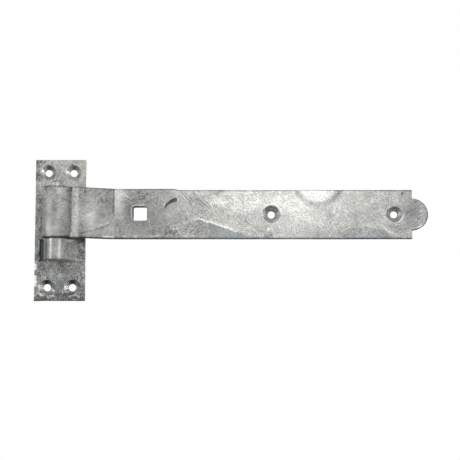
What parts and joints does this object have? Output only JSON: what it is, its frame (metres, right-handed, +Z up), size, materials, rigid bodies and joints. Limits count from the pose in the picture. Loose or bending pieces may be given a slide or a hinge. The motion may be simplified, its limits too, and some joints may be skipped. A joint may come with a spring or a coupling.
{
  "type": "cranked hook and band gate hinge",
  "caption": "Cranked hook-and-band gate hinge: a long strap with a rolled eye swings on an upright pin gripped by a screw-on back plate.",
  "frame": {"origin": "centre of the hook plate's back face, which is the centre of its four screw holes", "axes": "+X along the strap from the pin to its tip, +Y into the post and gate (the front faces -Y), +Z up, parallel to the pin"},
  "size_m": [0.3195, 0.0271, 0.115],
  "materials": {
    "plate_zinc": "hot-dip galvanised, mottled, semi-gloss",
    "pin_zinc": "hot-dip galvanised, semi-gloss",
    "strap_zinc": "hot-dip galvanised, fine mottled grain with flow marks, semi-gloss"
  },
  "bodies": {
    "hook": {"hook_plate": "plate_zinc", "pintle_pin": "pin_zinc"},
    "band": {"strap_band": "strap_zinc"}
  },
  "joints": [
    {"name": "band_swing", "type": "hinge", "parent": "hook", "child": "band", "pos_m": [-0.001, -0.0158, 0], "axis": [0, 0, -1], "range_deg": [0, 180]}
  ]
}
